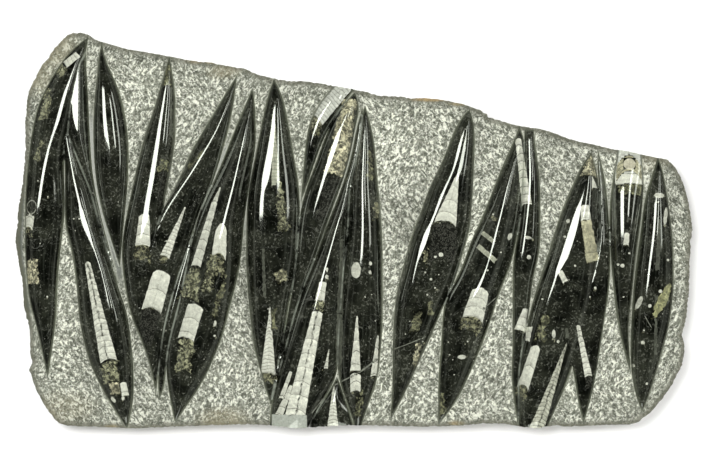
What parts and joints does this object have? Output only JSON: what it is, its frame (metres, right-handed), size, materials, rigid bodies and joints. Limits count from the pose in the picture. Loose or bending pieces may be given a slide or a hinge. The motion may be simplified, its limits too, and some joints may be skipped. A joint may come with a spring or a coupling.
{
  "type": "orthoceras fossil slab",
  "caption": "Relief slab of black fossil limestone: long polished spindles round pale chambered shells, standing out of dressed grey matrix, with a flat sawn back.",
  "frame": {"origin": "middle of the slab's box, on the sawn back that it lies on", "axes": "+X along the slab's length, from the taller end to the lower one; +Y towards the slanting upper edge; +Z out of the relief"},
  "size_m": [0.6104, 0.357, 0.045],
  "materials": {
    "fossil_limestone": "polished spindles, dressed grey matrix, broken rim"
  },
  "bodies": {
    "root": {"fossil_slab": "fossil_limestone"}
  },
  "joints": []
}
